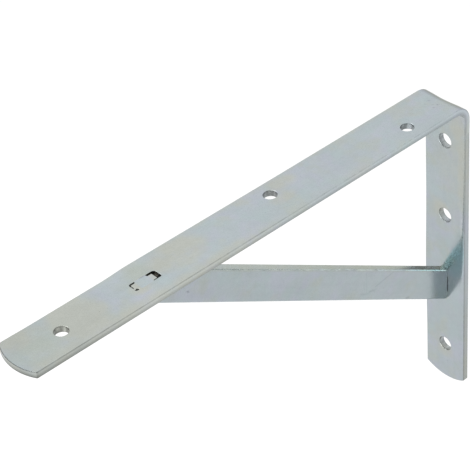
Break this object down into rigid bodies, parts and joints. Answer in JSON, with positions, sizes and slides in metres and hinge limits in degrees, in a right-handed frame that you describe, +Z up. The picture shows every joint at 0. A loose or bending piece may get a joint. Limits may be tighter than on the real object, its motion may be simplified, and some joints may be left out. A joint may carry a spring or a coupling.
{
  "type": "gallows shelf bracket",
  "caption": "Right-angled shelf bracket bent from flat bar, with a diagonal brace on edge riveted through slots in both legs, and plain screw holes for shelf and wall.",
  "frame": {"origin": "centre of the top wall screw hole, in the plane of the wall that the leg lies on", "axes": "+X away from the wall along the shelf arm, +Y across the strap, +Z up, square to the shelf"},
  "size_m": [0.307, 0.03, 0.209],
  "materials": {
    "zinc_plated_steel": "bright zinc plate, softly glossy"
  },
  "bodies": {
    "root": {"angle_strap": "zinc_plated_steel", "diagonal_brace": "zinc_plated_steel"}
  },
  "joints": []
}
